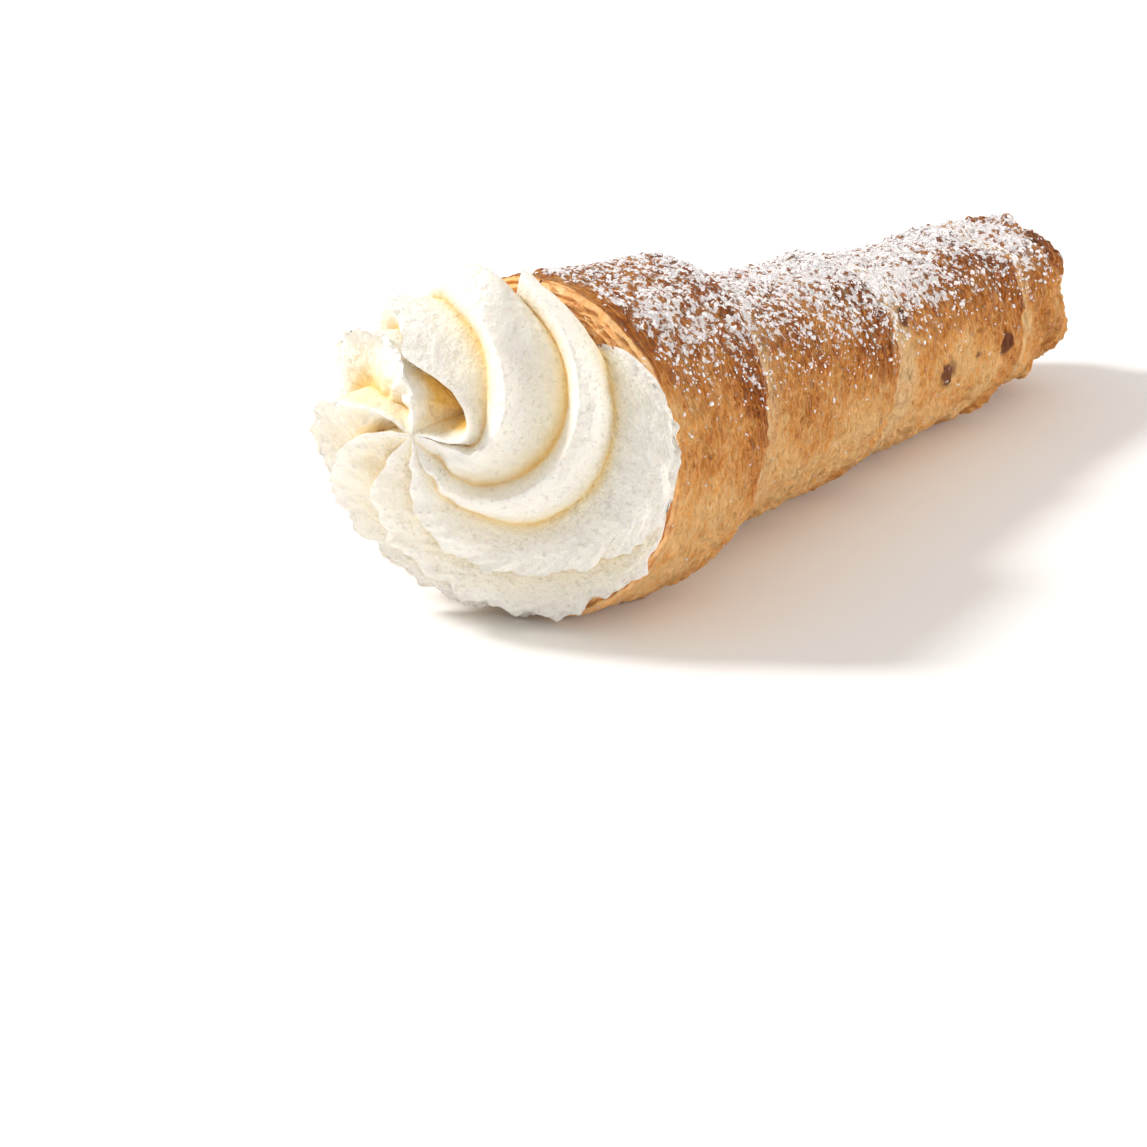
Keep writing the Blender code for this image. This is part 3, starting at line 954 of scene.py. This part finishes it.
def crust_material():
    """Baked puff pastry: golden to dark brown, fine pale fibres, painted highlights on threads and
    flake edges, painted shade along the steps, a veil of sugar.
    """
    made, tree, shader = new_material("baked_crust")
    place = tree.nodes.new("ShaderNodeTexCoord").outputs["Object"]
    strip = tree.nodes.new("ShaderNodeUVMap")
    strip.uv_map = "strip"
    fibres = noise_node(tree, stretch(tree, strip, 0.28, 14.0), 2.2, detail=6.0, roughness=0.66)
    flakes = noise_node(tree, stretch(tree, strip, 2.6, 10.0), 2.2, detail=6.0, roughness=0.66)
    blotches = noise_node(tree, place, 300.0, detail=5.0, roughness=0.62)
    freckles = grain_node(tree, 1000.0, 0.30, 0.70)
    # The browning mask brings the painted step shade into the crust's colour as well
    brown = math_node(tree, "ADD", mask_node(tree, "browning_and_step_shade"), centred(tree, blotches, 0.85))
    brown = math_node(tree, "ADD", brown, centred(tree, fibres, 1.35))
    flaking = map_node(tree, mask_node(tree, "browning_and_step_shade"), 0.12, 0.55, 0.25, 2.30)
    brown = math_node(tree, "ADD", brown, math_node(
        tree, "MULTIPLY", centred(tree, flakes, 1.0), flaking))
    brown = math_node(tree, "ADD", brown, centred(tree, freckles, 0.26))
    colour = colour_ramp(tree, brown, (
        (0.0, (1.00, 0.60, 0.25)),
        (0.22, (0.96, 0.42, 0.10)),
        (0.48, (0.70, 0.215, 0.029)),
        (0.72, (0.41, 0.092, 0.010)),
        (1.0, (0.15, 0.026, 0.004)),
    ))
    # Raised flake edges: paler dough, lightened further as a painted highlight
    pale_flake_edges_and_highlights = map_node(tree, flakes, 0.58, 0.68, 0.0, 0.45)
    colour = mix_colour(tree, pale_flake_edges_and_highlights, colour, (1.0, 0.66, 0.33))
    # Pale fibre threads, lightened further as a painted highlight on the raised fibres
    pale_threads_and_highlights = map_node(tree, fibres, 0.55, 0.63, 0.0, 0.65)
    colour = mix_colour(tree, pale_threads_and_highlights, colour, (1.0, 0.70, 0.38))
    fibre_light = map_node(tree, fibres, 0.44, 0.60, 0.40, 1.0)
    layering = map_node(tree, mask_node(tree, "layering"), 0.05, 1.0, 0.0, 0.92)
    pale = math_node(tree, "MULTIPLY", fibre_light, layering)
    pale = math_node(tree, "MULTIPLY", pale, map_node(tree, flakes, 0.36, 0.60, 0.30, 1.0))
    colour = mix_colour(tree, pale, colour, (1.0, 0.74, 0.44))
    burnt = map_node(tree, mask_node(tree, "scorching"), 0.25, 0.6, 0.0, 0.92)
    colour = mix_colour(tree, burnt, colour, (0.17, 0.036, 0.011))

    # Icing sugar lies in irregular patches where it fell, with the crust bare between them
    fallen = math_node(tree, "MULTIPLY", mask_node(tree, "sugaring"), 0.245)
    patches = grain_node(tree, 780.0, 0.66, 0.71, fallen)
    haze = grain_node(tree, 2400.0, 0.64, 0.82, fallen)
    haze = math_node(tree, "MULTIPLY", haze, 0.24)
    colour = mix_colour(tree, haze, colour, (0.86, 0.66, 0.60))
    covered = math_node(tree, "MULTIPLY", patches, 0.90)
    colour = mix_colour(tree, covered, colour, (1.0, 0.975, 0.985))
    tree.links.new(colour, shader.inputs["Base Color"])
    tree.links.new(map_node(tree, patches, 0.0, 1.0, 0.48, 0.9), shader.inputs["Roughness"])
    shader.inputs["Specular IOR Level"].default_value = 0.18
    shader.inputs["Subsurface Weight"].default_value = 0.06
    shader.inputs["Subsurface Radius"].default_value = (1.0, 0.5, 0.2)
    shader.inputs["Subsurface Scale"].default_value = 0.0015

    # The fibres and flakes stand out less under the sugar
    bare = map_node(tree, patches, 0.0, 1.0, 1.0, 0.30)
    fibre_height = math_node(tree, "MULTIPLY", centred(tree, fibres, 1.0), bare)
    flake_height = math_node(tree, "MULTIPLY", centred(tree, flakes, 1.0), bare)
    flake_height = math_node(tree, "MULTIPLY", flake_height, flaking)
    normal = bump_node(tree, fibre_height, 1.0, 0.0013)
    normal = bump_node(tree, flake_height, 1.0, 0.0007, normal)
    normal = bump_node(tree, blotches, 0.8, 0.0010, normal)
    normal = bump_node(tree, freckles, 0.4, 0.0002, normal)
    normal = bump_node(tree, patches, 0.6, 0.0002, normal)
    tree.links.new(normal, shader.inputs["Normal"])
    return made


def sugar_material():
    """Icing sugar in soft white lumps."""
    made, tree, shader = new_material("icing_sugar")
    powder = grain_node(tree, 2600.0, 0.30, 0.70)
    colour = colour_ramp(tree, powder, (
        (0.0, (0.93, 0.90, 0.91)),
        (1.0, (1.0, 0.98, 0.985)),
    ))
    tree.links.new(colour, shader.inputs["Base Color"])
    tree.links.new(map_node(tree, powder, 0.0, 1.0, 0.80, 0.95), shader.inputs["Roughness"])
    shader.inputs["Subsurface Weight"].default_value = 0.15
    shader.inputs["Subsurface Radius"].default_value = (1.0, 0.9, 0.85)
    shader.inputs["Subsurface Scale"].default_value = 0.0006
    tree.links.new(bump_node(tree, powder, 0.5, 0.0001), shader.inputs["Normal"])
    return made


def leaf_material():
    """Thin baked leaves of dough: orange-brown, toasted unevenly."""
    made, tree, shader = new_material("flaky_leaves")
    place = tree.nodes.new("ShaderNodeTexCoord").outputs["Object"]
    toasted = noise_node(tree, place, 240.0, detail=5.0, roughness=0.6)
    freckles = grain_node(tree, 1400.0, 0.30, 0.70)
    tone = math_node(tree, "ADD", toasted, centred(tree, freckles, 0.20))
    colour = colour_ramp(tree, tone, (
        (0.30, (0.90, 0.64, 0.36)),
        (0.50, (0.72, 0.36, 0.11)),
        (0.70, (0.38, 0.125, 0.028)),
    ))
    tree.links.new(colour, shader.inputs["Base Color"])
    tree.links.new(map_node(tree, freckles, 0.0, 1.0, 0.40, 0.65), shader.inputs["Roughness"])
    shader.inputs["Subsurface Weight"].default_value = 0.12
    shader.inputs["Subsurface Radius"].default_value = (1.0, 0.5, 0.2)
    shader.inputs["Subsurface Scale"].default_value = 0.001
    tree.links.new(bump_node(tree, freckles, 0.4, 0.0002), shader.inputs["Normal"])
    return made


def cream_material():
    """Whipped cream: off-white, with a painted yellowish shade deep in its grooves, faintly
    grained.
    """
    made, tree, shader = new_material("whipped_cream")
    place = tree.nodes.new("ShaderNodeTexCoord").outputs["Object"]
    grain = grain_node(tree, 900.0, 0.25, 0.75)
    pores = grain_node(tree, 1500.0, 0.60, 0.70)
    drift = noise_node(tree, place, 120.0, detail=2.0)
    # Painted shade: the groove mask turns the cream yellowish in the grooves, the fold and under
    # the lips
    groove_shade = math_node(tree, "ADD", mask_node(tree, "groove"), centred(tree, drift, 0.35))
    colour = colour_ramp(tree, groove_shade, (
        (0.0, (0.985, 0.945, 0.865)),
        (0.14, (0.975, 0.92, 0.815)),
        (0.45, (0.96, 0.865, 0.69)),
        (0.75, (0.945, 0.76, 0.44)),
        (1.0, (0.92, 0.60, 0.15)),
    ))
    tree.links.new(colour, shader.inputs["Base Color"])
    tree.links.new(map_node(tree, grain, 0.0, 1.0, 0.38, 0.55), shader.inputs["Roughness"])
    shader.inputs["Subsurface Weight"].default_value = 0.25
    shader.inputs["Subsurface Radius"].default_value = (1.0, 0.75, 0.45)
    shader.inputs["Subsurface Scale"].default_value = 0.003
    whipped = math_node(tree, "MULTIPLY", grain, map_node(
        tree, mask_node(tree, "ragged"), 0.0, 0.5, 0.50, 1.0))
    normal = bump_node(tree, whipped, 0.8, 0.0005)
    normal = bump_node(tree, math_node(tree, "SUBTRACT", 1.0, pores), 0.6, 0.0003, normal)
    tree.links.new(normal, shader.inputs["Normal"])
    return made


def floor_material():
    """A plain pale floor."""
    made, tree, shader = new_material("pale_floor")
    shader.inputs["Base Color"].default_value = (0.97, 0.97, 0.97, 1.0)
    shader.inputs["Roughness"].default_value = 0.9
    return made


# ---------------------------------------------------------------- stage

def add_camera():
    """Place the camera that looks down on the mouth from the front left."""
    level = math.cos(CAMERA_ELEVATION)
    forward = Vector((
        level * math.cos(CAMERA_AZIMUTH),
        level * math.sin(CAMERA_AZIMUTH),
        -math.sin(CAMERA_ELEVATION),
    ))
    lens = bpy.data.cameras.new("camera")
    lens.lens = CAMERA_LENS
    lens.sensor_width = 36.0
    lens.clip_start = 0.01
    camera = bpy.data.objects.new("camera", lens)
    bpy.context.scene.collection.objects.link(camera)
    camera.location = CAMERA_PLACE
    camera.rotation_euler = forward.to_track_quat("-Z", "Y").to_euler()
    bpy.context.scene.camera = camera


def add_light(name, place, size, power, colour):
    """Add a soft round light that faces the horn."""
    lamp = bpy.data.lights.new(name, "AREA")
    lamp.shape = "DISK"
    lamp.size = size
    lamp.energy = power
    lamp.color = colour
    light = bpy.data.objects.new(name, lamp)
    bpy.context.scene.collection.objects.link(light)
    light.location = place
    light.rotation_euler = (Vector(LIGHT_AIM) - Vector(place)).to_track_quat("-Z", "Y").to_euler()


def add_stage():
    """Add the floor, the lights and the white surroundings."""
    bpy.ops.object.select_all(action="DESELECT")
    bpy.ops.mesh.primitive_plane_add(size=FLOOR_SIZE, location=(0.0, 0.0, -FLOOR_DROP))
    floor = bpy.context.object
    floor.name = "floor"
    floor.data.materials.append(floor_material())
    bpy.ops.object.transform_apply(location=True)

    add_light("key_softbox", *KEY_SOFTBOX)
    add_light("side_fill", *SIDE_FILL)
    world = bpy.data.worlds.new("white_room")
    bpy.context.scene.world = world
    world.use_nodes = True
    sky = world.node_tree.nodes["Background"]
    sky.inputs["Color"].default_value = ROOM_COLOUR
    sky.inputs["Strength"].default_value = ROOM_STRENGTH
    bpy.context.scene.view_settings.view_transform = "Standard"


# ---------------------------------------------------------------- assembly

def assemble(piece, material, nodes):
    """Give a piece its material and body, and hide the solid parts it stands for."""
    piece.data.materials.clear()
    piece.data.materials.append(material)
    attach(piece, "root")
    if nodes:
        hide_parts(*nodes)


def main():
    """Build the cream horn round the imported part."""
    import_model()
    add_camera()
    add_stage()

    crust = build_crust()
    finish_crust(crust)
    specks = build_sugar(crust, "sugar_specks", SUGAR_SPECKS)
    clumps = build_sugar(crust, "sugar_clumps", SUGAR_CLUMPS)
    assemble(crust, crust_material(), ["pastry_horn"])

    sugar = sugar_material()
    assemble(specks, sugar, [])
    assemble(clumps, sugar, [])
    assemble(build_rim_leaves(), leaf_material(), [])

    cream = build_cream()
    finish_cream(cream)
    assemble(cream, cream_material(), ["cream_filling"])


main()
